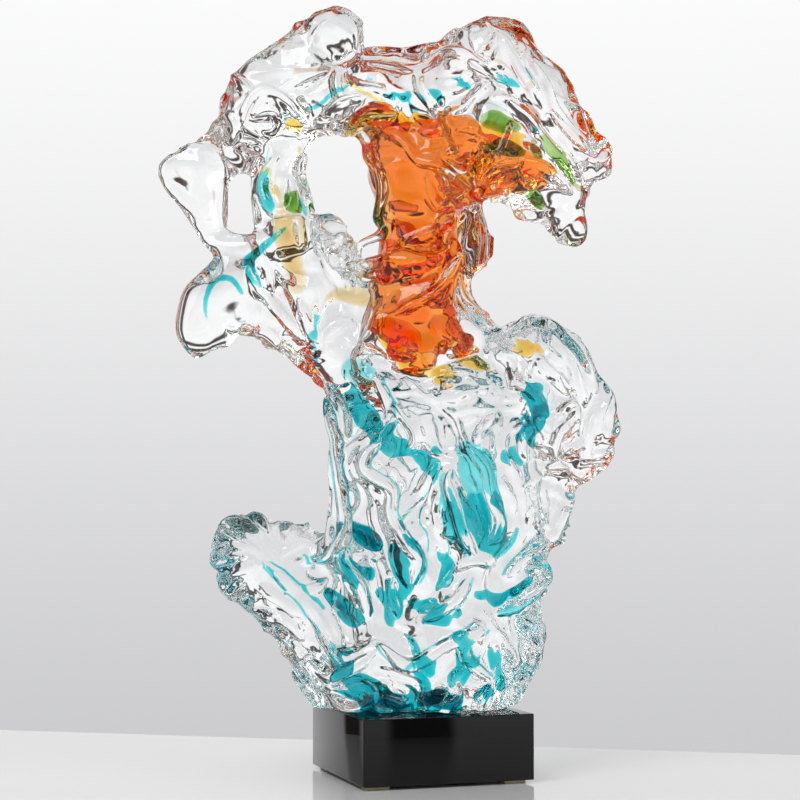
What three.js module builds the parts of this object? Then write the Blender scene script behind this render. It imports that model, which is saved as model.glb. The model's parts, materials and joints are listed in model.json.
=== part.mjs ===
// A scholar's stone of hot-worked clear and coloured glass, bonded to a black
// crystal plinth that stands on four pads. Millimetres, +Z up.
import * as THREE from 'three';

// Plinth, pads and the bond between plinth and glass
const plinthWidth = 136;
const plinthDepth = 136;
const plinthHeight = 50;
const plinthEdge = 0.8;
const padSide = 17;
const padHeight = 2.5;
const padInset = 5;
const bondHeight = 0.5;
const bondInset = 4;

// Clearances: flat faces that seat on each other, and glass laid against glass
const seatGap = 0.1;
const glassGap = 0.3;

// How the stone is turned on its plinth, how finely it is faceted, and how far
// apart two runs of glass still melt into each other
const stoneTurn = -18.5;
const facet = 10;
const blend = 8;
const settlePasses = 3;
const slopeStep = 0.2;
const facingPasses = 12;
const leastFacing = 0.15;
const cellMargin = 1;

// Glass and plinth finishes
const clearGlass = { color: '#eef3f4', roughness: 0.04, metalness: 0 };
const tealGlass = { color: '#12a0a6', roughness: 0.05, metalness: 0 };
const orangeGlass = { color: '#f2600c', roughness: 0.05, metalness: 0 };
const amberGlass = { color: '#f6a024', roughness: 0.05, metalness: 0 };
const greenGlass = { color: '#3f7d1e', roughness: 0.05, metalness: 0 };
const blackCrystal = { color: '#0d0e11', roughness: 0.06, metalness: 0 };
const creamRubber = { color: '#d3c2a2', roughness: 0.7, metalness: 0 };
const bondResin = { color: '#dfe6e8', roughness: 0.2, metalness: 0 };

// Each gather of glass is a few runs of balls [x, y, z, radius], blended as hot
// glass flows, and its folds are thinner runs that stand out on it. x is to the
// right and y is away from the viewer of the stone's face, z is height above the
// foot. thickness is its depth over its width.
const gathers = {
  trunk: {
    thickness: 0.82, runs: [
      [[-28, 0, 225, 44], [-18, 0, 165, 46], [-22, 5, 100, 46], [-34, 5, 45, 46], [-38, 0, 8, 42]],
      [[38, -5, 225, 44], [45, 0, 160, 48], [44, 5, 98, 46], [32, 0, 45, 48], [28, 0, 8, 44]],
      [[5, 0, 228, 46], [14, 2, 165, 50], [10, 6, 100, 50], [0, 4, 45, 50], [-4, 2, 8, 46]],
    ],
    folds: [
      [[-64, -18, 246, 10], [-60, -24, 200, 11], [-60, -26, 158, 11], [-60, -24, 128, 10], [-72, -18, 112, 10]],
      [[-32, -42, 212, 10], [-43, -40, 190, 10], [-24, -44, 168, 10], [-21, -45, 150, 10], [-8, -46, 128, 10],
        [-4, -45, 102, 9]],
      [[20, -48, 190, 9], [22, -48, 166, 10], [30, -47, 142, 9], [42, -44, 118, 9]],
      [[40, -44, 204, 10], [56, -38, 174, 10], [60, -36, 146, 10], [48, -42, 124, 9]],
      [[-55, -34, 120, 10], [-47, -38, 94, 10], [-40, -40, 66, 9]],
      [[-86, -12, 44, 9], [-70, -26, 30, 9], [-52, -36, 34, 10], [-34, -42, 48, 9]],
      [[-32, -42, 50, 9], [-9, -45, 36, 10], [14, -44, 50, 10], [36, -40, 62, 9]],
      [[38, -43, 104, 9], [26, -46, 86, 9], [6, -47, 72, 9]],
      [[-56, -32, 12, 11], [-32, -40, 10, 11]],
      [[12, -42, 12, 11], [36, -36, 12, 11]],
      [[-46, -30, 268, 9], [-30, -38, 246, 10], [-6, -42, 232, 9], [2, -44, 214, 9]],
      [[44, -30, 262, 9], [28, -40, 244, 10], [34, -42, 226, 9]],
      [[-56, 36, 232, 10], [-48, 42, 190, 10], [-56, 40, 150, 10], [-50, 40, 112, 10], [-56, 36, 72, 10],
        [-50, 38, 26, 10]],
      [[-16, 44, 230, 10], [-6, 46, 186, 10], [-20, 46, 148, 10], [-10, 46, 108, 10], [-24, 44, 66, 10],
        [-14, 42, 22, 10]],
      [[24, 42, 222, 10], [32, 44, 176, 10], [20, 46, 130, 10], [34, 42, 88, 10], [22, 42, 48, 10], [30, 40, 14, 10]],
      [[62, 34, 204, 10], [70, 32, 160, 10], [62, 34, 118, 10], [64, 30, 76, 9], [56, 32, 36, 9]],
    ],
  },
  left_wing: {
    thickness: 0.85, runs: [
      [[-142, -24, 122, 17], [-128, -16, 108, 22], [-104, -6, 86, 28], [-80, -4, 60, 30], [-66, -6, 12, 20]],
      [[-126, -10, 134, 15], [-118, -6, 118, 22], [-98, 2, 124, 16], [-84, 2, 96, 20]],
      [[-143, -16, 100, 17], [-126, -8, 90, 20]],
    ],
    folds: [
      [[-120, -24, 128, 9], [-132, -27, 135, 9], [-141, -27, 139, 8]],
      [[-120, -27, 118, 9], [-136, -33, 119, 9], [-147, -33, 118, 8]],
      [[-118, -27, 108, 9], [-133, -33, 103, 9], [-143, -31, 99, 8]],
      [[-112, -26, 98, 9], [-96, -28, 82, 10], [-82, -26, 64, 9], [-72, -24, 44, 9]],
      [[-128, 8, 114, 9], [-108, 16, 98, 9], [-88, 20, 78, 9], [-74, 22, 54, 9]],
    ],
  },
  right_shoulder: {
    thickness: 0.82, runs: [
      [[48, 0, 262, 30], [86, 4, 275, 27], [112, 10, 259, 24], [128, 14, 234, 21], [136, 14, 214, 15],
        [130, 12, 196, 17], [122, 8, 180, 13]],
      [[79, 0, 240, 33], [106, 2, 206, 27]],
    ],
    folds: [
      [[60, -22, 284, 9], [88, -20, 296, 9], [114, -12, 280, 9], [132, -2, 250, 9]],
      [[104, -14, 238, 10], [116, -18, 230, 10]],
      [[138, 10, 236, 9], [143, 11, 238, 8]],
      [[136, 10, 216, 9], [141, 10, 215, 9]],
      [[92, -20, 216, 10], [102, -22, 206, 10]],
      [[80, -26, 262, 9], [92, -24, 250, 9]],
      [[66, 28, 278, 9], [96, 24, 282, 9], [120, 22, 258, 9], [128, 22, 228, 9]],
      [[84, 30, 244, 10], [102, 30, 214, 10]],
    ],
  },
  right_flank: {
    thickness: 0.45, runs: [
      [[96, 8, 178, 20], [103, 8, 158, 16], [97, 8, 140, 14], [86, 6, 126, 12]],
    ],
  },
  right_foot_lobes: {
    thickness: 1, runs: [
      [[82, -8, 110, 15], [82, -14, 92, 16], [81, -16, 66, 16], [76, -18, 40, 16], [66, -18, 12, 15]],
    ],
  },
  neck: {
    thickness: 0.85, runs: [
      [[-5, 0, 280, 42], [-6, 0, 318, 35], [6, 0, 352, 35], [4, 2, 386, 34], [-3, 2, 421, 33], [-8, 2, 452, 30]],
      [[-5, 0, 280, 42], [30, 0, 288, 28]],
    ],
    folds: [
      [[8, -28, 444, 8], [16, -30, 420, 8], [34, -27, 402, 8]],
      [[26, -24, 344, 8], [14, -31, 324, 8], [-6, -33, 308, 8], [-26, -32, 294, 9], [-44, -28, 272, 9]],
      [[30, -20, 334, 8], [32, -24, 314, 8], [44, -24, 298, 8]],
      [[-20, 26, 438, 8], [-12, 30, 400, 9], [-22, 30, 362, 9], [-12, 32, 322, 9], [-24, 36, 286, 9]],
      [[16, 28, 440, 8], [20, 30, 402, 9], [12, 32, 362, 9], [24, 32, 322, 9], [18, 36, 286, 9]],
    ],
  },
  neck_lobe: {
    thickness: 1, runs: [
      [[30, -26, 372, 19], [36, -26, 354, 15], [18, -32, 336, 10]],
    ],
  },
  neck_veil: {
    thickness: 0.8, runs: [
      [[-36, -28, 338, 8], [-14, -36, 346, 9], [10, -38, 342, 9]],
    ],
  },
  canopy_crest: {
    thickness: 0.85, runs: [
      [[-72, 4, 478, 26], [-31, 6, 482, 31], [5, 6, 480, 34], [28, 4, 486, 32]],
    ],
    folds: [
      [[-50, -20, 500, 8], [-26, -26, 496, 9], [-2, -28, 494, 9], [20, -28, 505, 8], [36, -26, 508, 8]],
      [[-62, -20, 460, 8], [-38, -24, 466, 8], [-14, -26, 462, 8]],
      [[-60, 26, 486, 9], [-30, 32, 496, 9], [0, 34, 482, 9], [30, 32, 496, 9]],
    ],
  },
  canopy_left: {
    thickness: 0.95, runs: [
      [[-94, 2, 506, 24], [-122, 5, 489, 24], [-132, 2, 462, 23], [-144, -2, 438, 18]],
      [[-122, 5, 489, 24], [-104, 2, 466, 24]],
    ],
    folds: [
      [[-134, -14, 448, 8], [-136, -18, 464, 8], [-122, -18, 480, 8], [-106, -20, 472, 8], [-92, -18, 456, 8]],
      [[-112, -16, 512, 8], [-96, -18, 496, 8], [-80, -20, 500, 8]],
      [[-132, 14, 452, 8], [-124, 19, 480, 8], [-102, 20, 498, 9]],
    ],
  },
  canopy_right: {
    thickness: 0.85, runs: [
      [[39, 4, 508, 31], [65, 4, 508, 30], [86, 2, 480, 31], [110, 0, 448, 28], [128, -2, 428, 20]],
      [[45, 0, 460, 36], [79, -2, 425, 32], [106, -4, 406, 22]],
    ],
    folds: [
      [[54, -24, 524, 9], [70, -27, 504, 9], [84, -27, 482, 9], [98, -25, 458, 8]],
      [[84, -16, 510, 8], [98, -20, 484, 9], [110, -23, 458, 9], [124, -18, 436, 8]],
      [[46, -34, 402, 8], [60, -33, 414, 8], [88, -30, 419, 8], [114, -20, 404, 8]],
      [[20, -28, 470, 8], [28, -34, 448, 9], [34, -36, 424, 8]],
      [[50, 32, 522, 9], [68, 30, 492, 9], [58, 34, 456, 9], [82, 30, 428, 9]],
      [[88, 26, 502, 9], [102, 26, 470, 9], [110, 24, 438, 9]],
    ],
  },
  top_knob: {
    thickness: 0.9, runs: [
      [[-92, 0, 514, 18], [-74, -2, 527, 20], [-62, -2, 529, 18]],
    ],
  },
  hanging_lobes: {
    thickness: 1, runs: [
      [[108, -6, 395, 18], [115, -8, 382, 15], [120, -8, 374, 12]],
      [[108, -6, 395, 16], [86, -10, 388, 13]],
    ],
  },
  left_arc: {
    thickness: 1, runs: [
      [[-105, 2, 450, 20], [-112, 2, 420, 18], [-109, 0, 392, 20], [-102, -2, 362, 19], [-88, -2, 325, 21],
        [-70, 0, 290, 25], [-55, 0, 258, 26]],
    ],
  },
  hole_sill: {
    thickness: 0.9, runs: [
      [[-84, -4, 352, 16], [-70, -4, 336, 15], [-52, -2, 316, 20], [-34, 0, 300, 22]],
    ],
  },
  left_horn: {
    thickness: 0.55, runs: [
      [[-142, -6, 433, 17], [-170, -12, 424, 16], [-197, -16, 420, 10]],
      [[-170, -13, 415, 17], [-166, -14, 393, 14], [-162, -14, 374, 10]],
    ],
  },
  curl_lip: {
    thickness: 1, runs: [
      [[-163, -14, 366, 9], [-150, -15, 358, 9], [-130, -20, 356, 9], [-112, -26, 361, 10], [-96, -28, 368, 10]],
    ],
  },
  tongue: {
    thickness: 0.95, runs: [
      [[-98, -8, 338, 14], [-125, -12, 340, 14], [-150, -16, 333, 16], [-170, -18, 318, 15], [-178, -16, 296, 12],
        [-174, -14, 282, 11]],
      [[-150, -14, 325, 14], [-157, -8, 300, 11], [-155, -6, 289, 9]],
      [[-150, -14, 325, 14], [-130, -6, 310, 15], [-105, -3, 298, 17], [-82, 0, 282, 18]],
    ],
  },
  hole_drip: {
    thickness: 1, runs: [
      [[-84, -24, 374, 9], [-70, -22, 373, 9], [-60, -21, 358, 9], [-61, -21, 344, 9], [-48, -26, 334, 8],
        [-36, -30, 334, 8]],
    ],
  },
};

// Coloured glass inside the clear gathers, drawn out into veils
const cores = {
  orange_core: {
    thickness: 0.8, finish: orangeGlass, runs: [
      [[-22, -2, 462, 10], [-10, 0, 440, 15], [0, 2, 415, 18], [5, 2, 385, 18], [7, 0, 350, 19], [0, 0, 318, 19],
        [4, 0, 288, 20], [16, 0, 266, 16]],
      [[0, 2, 415, 18], [45, 0, 430, 16], [72, 0, 438, 14], [94, -2, 420, 11]],
    ],
  },
  amber_core: {
    thickness: 0.8, finish: amberGlass, runs: [
      [[-14, -2, 300, 13], [-12, -2, 274, 17], [14, 0, 246, 13], [44, 0, 246, 12], [72, 2, 256, 11]],
    ],
  },
  amber_arc_core: {
    thickness: 1, finish: amberGlass, runs: [
      [[-104, 14, 392, 9], [-98, 13, 362, 10], [-84, 12, 328, 11], [-64, 10, 316, 10], [-40, 8, 318, 10]],
    ],
  },
  green_core: {
    thickness: 0.9, finish: greenGlass, runs: [
      [[50, -6, 456, 11], [74, -10, 448, 11], [86, -12, 426, 10]],
    ],
  },
  teal_crest_core: {
    thickness: 0.9, finish: tealGlass, runs: [
      [[-106, 2, 464, 9], [-82, 3, 476, 9], [-60, 4, 482, 10], [-30, 5, 480, 12], [0, 5, 478, 13],
        [28, 4, 488, 11], [54, 3, 490, 11], [78, 2, 484, 10]],
    ],
  },
  teal_arc_core: {
    thickness: 1, finish: tealGlass, runs: [
      [[-116, 14, 424, 9], [-120, 12, 396, 9], [-118, 10, 366, 10], [-124, 4, 338, 10], [-144, -4, 330, 10],
        [-160, -4, 320, 9]],
    ],
  },
  teal_trunk_core: {
    thickness: 0.6, finish: tealGlass, runs: [
      [[-44, -4, 236, 14], [-34, -6, 214, 18], [-26, -6, 186, 15], [-32, -4, 150, 14], [-32, 0, 108, 20],
        [-24, 0, 72, 26], [-22, 0, 30, 28], [-20, 0, -6, 28]],
      [[14, -6, 206, 13], [36, -8, 176, 24], [42, -8, 142, 24], [36, -2, 104, 22], [26, 0, 62, 26], [22, 0, -6, 28]],
      [[74, 0, 236, 14], [68, 0, 212, 15], [50, -4, 192, 14], [36, -8, 176, 18]],
    ],
  },
};

// The lesser of two distances, rounded off where they are nearly alike
function melt(a, b) {
  if (Math.abs(a - b) >= blend) return Math.min(a, b);
  const share = (blend - Math.abs(a - b)) / blend;
  return Math.min(a, b) - share * share * blend / 4;
}

// Distance from a point to one run of balls, with straight tapers between them
function distanceToRun(x, y, z, run) {
  let nearest = Infinity;
  for (let i = 0; i + 1 < run.length; i++) {
    const [ax, ay, az, ar] = run[i];
    const [bx, by, bz, br] = run[i + 1];
    const [ux, uy, uz] = [bx - ax, by - ay, bz - az];
    const along = ((x - ax) * ux + (y - ay) * uy + (z - az) * uz) / (ux * ux + uy * uy + uz * uz);
    const t = Math.min(1, Math.max(0, along));
    const away = Math.hypot(x - ax - t * ux, y - ay - t * uy, z - az - t * uz);
    nearest = melt(nearest, away - ar - t * (br - ar));
  }
  return nearest;
}

// Distance from a point to a whole gather, below zero inside it
function distanceTo(gather, [x, y, z]) {
  let nearest = Infinity;
  for (const run of gather.flattened) nearest = melt(nearest, distanceToRun(x, y / gather.thickness, z, run));
  return nearest;
}

// All glass is laid out on one grid of points. Each point belongs to the first
// piece in the list that it is inside, so a later piece takes the shape of what
// it is laid on, and two neighbours share the same facets.
const pieces = [
  ...Object.entries(cores).map(([name, core]) => ({ name, ...core })),
  ...Object.entries(gathers).map(([name, gather]) => ({ name, finish: clearGlass, ...gather })),
];
const air = pieces.length;
const low = [Infinity, Infinity, -facet / 2];
const high = [-Infinity, -Infinity, -Infinity];
for (const piece of pieces) {
  const allRuns = [...piece.runs, ...(piece.folds ?? [])];
  piece.flattened = allRuns.map((run) => run.map(([x, y, z, r]) => [x, y / piece.thickness, z, r]));
  for (const [x, y, z, r] of allRuns.flat()) {
    low[0] = Math.min(low[0], x - r - blend - facet);
    low[1] = Math.min(low[1], y - r * piece.thickness - blend - facet);
    [x + r, y + r * piece.thickness, z + r].forEach((value, d) => {
      high[d] = Math.max(high[d], value + blend + facet);
    });
  }
}
const count = low.map((value, d) => Math.ceil((high[d] - value) / facet) + 1);
const stride = [1, count[0], count[0] * count[1]];
const pointCount = stride[2] * count[2];
const indexOf = (at) => [at % count[0], Math.floor(at / stride[1]) % count[1], Math.floor(at / stride[2])];
const placeOf = (at) => indexOf(at).map((index, d) => low[d] + index * facet);

const distances = pieces.map(() => new Float32Array(pointCount));
const owner = new Int16Array(pointCount).fill(air);
for (let at = 0; at < pointCount; at++) {
  const place = placeOf(at);
  pieces.forEach((piece, n) => {
    distances[n][at] = distanceTo(piece, place);
    if (owner[at] === air && distances[n][at] < 0 && place[2] > 0) owner[at] = n;
  });
}

const corners = [0, 1, 2, 3, 4, 5, 6, 7].map((n) => [n & 1, (n >> 1) & 1, n >> 2]);
const cornerSteps = corners.map((corner) => corner[0] + corner[1] * stride[1] + corner[2] * stride[2]);
const cubeEdges = corners.flatMap((_, n) => [1, 2, 4].filter((bit) => !(n & bit)).map((bit) => [n, n + bit]));
const cubeFaces = [[0, 1, 3, 2], [4, 5, 7, 6], [0, 1, 5, 4], [2, 3, 7, 6], [0, 2, 6, 4], [1, 3, 7, 5]];

// A piece that touches itself along an edge or at a corner only would fold there:
// so it is in a cube whose points of one owner don't all hang together, and on a
// square whose opposite points are alike and the others aren't
function touchesItself(owners) {
  const groups = owners.map((_, n) => n);
  for (let pass = 0; pass < 3; pass++) {
    for (const [a, b] of cubeEdges) {
      if (owners[a] === owners[b]) groups[a] = groups[b] = Math.min(groups[a], groups[b]);
    }
  }
  if (new Set(groups).size > new Set(owners).size) return true;
  return cubeFaces.some((face) => {
    const [p, q, r, s] = face.map((n) => owners[n]);
    return (p === r && q !== p && s !== p) || (q === s && p !== q && r !== q);
  });
}

// In such a cube an earlier piece takes the nearest point of a later owner
function mendTouches() {
  let changed = true;
  while (changed) {
    changed = false;
    for (let at = 0; at < pointCount - stride[2]; at++) {
      if (indexOf(at).some((index, d) => index + 1 >= count[d])) continue;
      const points = cornerSteps.map((step) => at + step);
      if (points.every((point) => owner[point] === owner[at])) continue;
      const owners = points.map((point) => owner[point]);
      if (!touchesItself(owners)) continue;
      const moves = [...cubeEdges, ...cubeEdges.map(([a, b]) => [b, a])]
        .filter(([a, b]) => owners[a] < owners[b] && placeOf(points[b])[2] > 0);
      const reach = ([a, b]) => distances[owners[a]][points[b]];
      const [from, to] = moves.reduce((one, other) => (reach(other) < reach(one) ? other : one));
      owner[points[to]] = owners[from];
      changed = true;
    }
  }
}

// Points of a piece that are cut off from its main body go to what they touch
function dropIslands() {
  const steps = [...stride, ...stride.map((step) => -step)];
  const body = new Int32Array(pointCount).fill(-1);
  const sizes = [];
  for (let start = 0; start < pointCount; start++) {
    if (owner[start] === air || body[start] >= 0) continue;
    const queue = [start];
    body[start] = sizes.length;
    for (const at of queue) {
      for (const step of steps) {
        if (owner[at + step] !== owner[start] || body[at + step] >= 0) continue;
        body[at + step] = sizes.length;
        queue.push(at + step);
      }
    }
    sizes.push({ owner: owner[start], size: queue.length });
  }
  const largest = pieces.map((_, n) => Math.max(...sizes.filter((one) => one.owner === n).map((one) => one.size)));
  for (let at = 0; at < pointCount; at++) {
    if (body[at] < 0 || sizes[body[at]].size === largest[owner[at]]) continue;
    const around = steps.map((step) => owner[at + step]).filter((other) => other !== owner[at]);
    const votes = (one) => around.filter((other) => other === one).length;
    owner[at] = around.reduce((a, b) => (votes(b) > votes(a) ? b : a));
  }
}

mendTouches();
dropIslands();
mendTouches();

// One point in each grid cell that a surface crosses, where its crossings average.
// Where two pieces meet, the surface is that of the earlier one.
const cellPoint = new Map();
for (let at = 0; at < pointCount - stride[2] - stride[1] - 1; at++) {
  const cell = indexOf(at);
  if (cell.some((index, d) => index + 1 >= count[d])) continue;
  const sum = new THREE.Vector3();
  const surfaces = new Set();
  let crossings = 0;
  for (const [n, corner] of corners.entries()) {
    const from = at + cornerSteps[n];
    for (let d = 0; d < 3; d++) {
      const to = from + stride[d];
      if (corner[d] || owner[from] === owner[to]) continue;
      const first = Math.min(owner[from], owner[to]);
      const [a, b] = [distances[first][from], distances[first][to]];
      const share = (a < 0) === (b < 0) ? 0.5 : a / (a - b);
      surfaces.add(first);
      sum.add(new THREE.Vector3(...corner).addScaledVector(new THREE.Vector3().setComponent(d, 1), share));
      crossings++;
    }
  }
  if (!crossings) continue;
  const cellLow = new THREE.Vector3(...placeOf(at));
  const place = sum.divideScalar(crossings).multiplyScalar(facet).add(cellLow);
  cellPoint.set(at, { place, cellLow, surfaces, ground: cell[2] === 0, sum: new THREE.Vector3(), neighbours: 0 });
}

// A quad across each grid edge between two owners, split along its shorter diagonal
const quads = [];
for (let at = 0; at < pointCount - stride[2]; at++) {
  for (let d = 0; d < 3; d++) {
    const [inner, outer] = [owner[at], owner[at + stride[d]]];
    if (inner === outer) continue;
    const [b, c] = [stride[(d + 1) % 3], stride[(d + 2) % 3]];
    const loop = [at - b - c, at - c, at, at - b];
    const [p, q, r, s] = loop.map((cellAt) => cellPoint.get(cellAt).place);
    if (p.distanceTo(r) > q.distanceTo(s)) loop.push(loop.shift());
    quads.push({ loop, inner, outer });
    loop.forEach((cellAt, n) => {
      const point = cellPoint.get(cellAt);
      point.sum.add(cellPoint.get(loop[(n + 1) % 4]).place).add(cellPoint.get(loop[(n + 3) % 4]).place);
      point.neighbours += 2;
    });
  }
}

// The points are evened out among their neighbours, and then moved along the
// slope of the distance until they lie on the true surfaces
for (const point of cellPoint.values()) point.even = point.sum.divideScalar(point.neighbours).lerp(point.place, 0.5);
for (const point of cellPoint.values()) {
  for (let pass = 0; pass < settlePasses; pass++) {
    for (const surface of point.surfaces) {
      const away = distanceTo(pieces[surface], point.even);
      const slope = new THREE.Vector3();
      for (let d = 0; d < 3; d++) {
        const ahead = point.even.clone();
        ahead.setComponent(d, ahead.getComponent(d) + slopeStep);
        slope.setComponent(d, (distanceTo(pieces[surface], ahead) - away) / slopeStep);
      }
      const move = THREE.MathUtils.clamp(away / Math.max(slope.lengthSq(), 0.25), -facet / 3, facet / 3);
      point.even.addScaledVector(slope, -move);
    }
  }
  point.even.clamp(point.cellLow.clone().addScalar(cellMargin), point.cellLow.clone().addScalar(facet - cellMargin));
  if (point.ground) point.even.z = 0;
}

// One piece as a closed skin. Where it lies against another piece, its points
// step back from that piece by half of the gap.
function skinOf(n) {
  const facets = [];
  for (const { loop, inner, outer } of quads) {
    if (inner !== n && outer !== n) continue;
    const [p, q, r, s] = inner === n ? loop : [loop[2], loop[1], loop[0], loop[3]];
    const shared = inner !== air && outer !== air;
    facets.push({ corners: [p, q, r], shared }, { corners: [p, r, s], shared });
  }
  const indexAt = new Map();
  const shift = new Map();
  for (const one of facets) {
    const [p, q, r] = one.corners.map((cellAt) => cellPoint.get(cellAt).even);
    one.normal = q.clone().sub(p).cross(r.clone().sub(p)).normalize();
    for (const cellAt of one.corners) {
      if (!indexAt.has(cellAt)) indexAt.set(cellAt, indexAt.size);
      if (!one.shared) continue;
      if (!shift.has(cellAt)) shift.set(cellAt, { direction: new THREE.Vector3(), normals: [], facing: 0 });
      shift.get(cellAt).direction.add(one.normal);
      shift.get(cellAt).normals.push(one.normal);
    }
  }
  for (const one of shift.values()) {
    for (let pass = 0; pass < facingPasses; pass++) {
      one.direction.normalize();
      const worst = one.normals.reduce((a, b) => (b.dot(one.direction) < a.dot(one.direction) ? b : a));
      one.facing = worst.dot(one.direction);
      if (pass + 1 < facingPasses) one.direction.addScaledVector(worst, 1 / (pass + 2));
    }
  }
  const positions = [];
  for (const cellAt of indexAt.keys()) {
    const place = cellPoint.get(cellAt).even.clone();
    const back = shift.get(cellAt);
    if (back?.facing > leastFacing) place.addScaledVector(back.direction, -glassGap / 2 / back.facing);
    if (cellPoint.get(cellAt).ground) place.z = 0;
    positions.push(...place);
  }
  const geometry = new THREE.BufferGeometry();
  geometry.setAttribute('position', new THREE.Float32BufferAttribute(positions, 3));
  geometry.setIndex(facets.flatMap(({ corners: at }) => at.map((cellAt) => indexAt.get(cellAt))));
  return geometry;
}

function named(name, geometry, finish) {
  const mesh = new THREE.Mesh(geometry, new THREE.MeshStandardMaterial(finish));
  mesh.name = name;
  return mesh;
}

// A block with small chamfers on all its edges, its underside at z = 0
function chamferedBlock(width, depth, height, edge) {
  const outline = new THREE.Shape();
  const [x, y] = [width / 2 - edge, depth / 2 - edge];
  outline.moveTo(-x, -y).lineTo(x, -y).lineTo(x, y).lineTo(-x, y).closePath();
  const block = new THREE.ExtrudeGeometry(outline, {
    depth: height - 2 * edge, bevelEnabled: true, bevelThickness: edge, bevelSize: edge, bevelSegments: 1,
  });
  return block.translate(0, 0, edge);
}

const ornament = new THREE.Group();

// The plinth is a polished block of black crystal
const plinth = named('plinth', chamferedBlock(plinthWidth, plinthDepth, plinthHeight, plinthEdge), blackCrystal);
const plinthUnderside = padHeight + seatGap;
plinth.position.z = plinthUnderside;
ornament.add(plinth);

// Four square pads under the plinth's corners
for (const [name, right, back] of [
  ['pad_front_left', -1, -1], ['pad_front_right', 1, -1], ['pad_back_left', -1, 1], ['pad_back_right', 1, 1],
]) {
  const pad = named(name, new THREE.BoxGeometry(padSide, padSide, padHeight), creamRubber);
  const reach = padInset + padSide / 2;
  pad.position.set(right * (plinthWidth / 2 - reach), back * (plinthDepth / 2 - reach), padHeight / 2);
  ornament.add(pad);
}

// The stone stands turned on the plinth, on a clear bond as large as its foot
const plinthTop = plinthUnderside + plinthHeight;
const stone = new THREE.Group();
stone.position.z = plinthTop + seatGap + bondHeight + glassGap;
stone.rotation.z = THREE.MathUtils.degToRad(stoneTurn);
ornament.add(stone);

const footRun = gathers.trunk.runs.map((run) => run[run.length - 1]);
const footLeft = footRun[0][0] - footRun[0][3] + bondInset;
const footRight = footRun[1][0] + footRun[1][3] - bondInset;
const footHalfDepth = (Math.min(footRun[0][3], footRun[1][3]) - bondInset) * gathers.trunk.thickness;
const bondShape = new THREE.Shape();
bondShape.absarc(footLeft + footHalfDepth, 0, footHalfDepth, Math.PI / 2, Math.PI * 1.5, false);
bondShape.absarc(footRight - footHalfDepth, 0, footHalfDepth, -Math.PI / 2, Math.PI / 2, false);
const bondGeometry = new THREE.ExtrudeGeometry(bondShape, { depth: bondHeight, bevelEnabled: false, curveSegments: 8 });
const bond = named('bond_film', bondGeometry, bondResin);
bond.position.z = -glassGap - bondHeight;
stone.add(bond);

pieces.forEach((piece, n) => stone.add(named(piece.name, skinOf(n), piece.finish)));

// The origin is at the centre of the underside of the whole ornament
const extent = new THREE.Box3().setFromObject(ornament, true);
const centre = extent.getCenter(new THREE.Vector3());
ornament.position.set(-centre.x, -centre.y, -extent.min.z);

export default ornament;
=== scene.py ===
import json
import math
import random

import bpy
from mathutils import Matrix, Vector, noise
from mathutils.bvhtree import BVHTree


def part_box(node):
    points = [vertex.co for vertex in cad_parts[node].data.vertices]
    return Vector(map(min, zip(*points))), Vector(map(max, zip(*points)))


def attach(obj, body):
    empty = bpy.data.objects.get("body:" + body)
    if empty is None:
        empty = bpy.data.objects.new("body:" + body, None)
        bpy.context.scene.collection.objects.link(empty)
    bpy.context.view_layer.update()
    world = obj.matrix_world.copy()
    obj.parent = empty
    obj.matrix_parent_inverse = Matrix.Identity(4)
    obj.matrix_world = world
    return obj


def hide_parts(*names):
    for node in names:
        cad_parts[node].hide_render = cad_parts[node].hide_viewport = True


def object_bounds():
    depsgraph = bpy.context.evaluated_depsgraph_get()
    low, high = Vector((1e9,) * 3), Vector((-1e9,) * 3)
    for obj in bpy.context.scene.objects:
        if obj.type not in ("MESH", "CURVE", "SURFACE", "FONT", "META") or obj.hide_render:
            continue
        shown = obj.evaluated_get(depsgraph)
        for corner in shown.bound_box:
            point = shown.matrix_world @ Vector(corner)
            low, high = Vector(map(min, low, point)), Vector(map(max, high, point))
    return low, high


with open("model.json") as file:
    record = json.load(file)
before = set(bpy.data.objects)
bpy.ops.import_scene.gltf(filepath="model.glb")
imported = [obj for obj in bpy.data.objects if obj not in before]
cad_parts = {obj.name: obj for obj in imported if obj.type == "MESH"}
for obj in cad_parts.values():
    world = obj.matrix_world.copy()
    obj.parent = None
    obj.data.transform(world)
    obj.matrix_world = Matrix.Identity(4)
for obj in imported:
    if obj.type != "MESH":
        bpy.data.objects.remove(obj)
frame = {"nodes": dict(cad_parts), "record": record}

cad_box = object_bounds()

# The camera stands in front of the plinth and to its left, a little above the plinth's top, and looks up by
# a few degrees, as the picture of the ornament was taken.
view_turn = math.radians(18.5)
view_pitch = math.radians(2.62)
view_distance = 1.561
view_aside = 0.0159
view_height = 0.2218
lens_mm = 89.3
sensor_mm = 36

plinth_low, plinth_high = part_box("plinth")
plinth_axis = (Vector(plinth_low) + Vector(plinth_high)) / 2
plinth_axis.z = 0
forward = Vector((math.sin(view_turn), math.cos(view_turn), 0))
rightward = Vector((math.cos(view_turn), -math.sin(view_turn), 0))

bpy.ops.object.camera_add(
    location=plinth_axis - forward * view_distance - rightward * view_aside + Vector((0, 0, view_height)),
    rotation=(math.pi / 2 + view_pitch, 0, -view_turn),
)
camera = bpy.context.object
camera.name = "camera"
camera.data.lens = lens_mm
camera.data.sensor_width = sensor_mm
bpy.context.scene.camera = camera


# The plinth is a square block of black crystal. It was sawn, ground and polished on every face, and each
# of its edges got a fine polished chamfer, so that it doesn't chip.
plinth_edge = 0.0008
edge_steps = 3
crystal_black = (0.0035, 0.0038, 0.0045, 1)
dust_grey = (0.05, 0.05, 0.055, 1)


def only(*objects):
    bpy.ops.object.select_all(action="DESELECT")
    for one in objects:
        one.select_set(True)
    bpy.context.view_layer.objects.active = objects[0]


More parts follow.
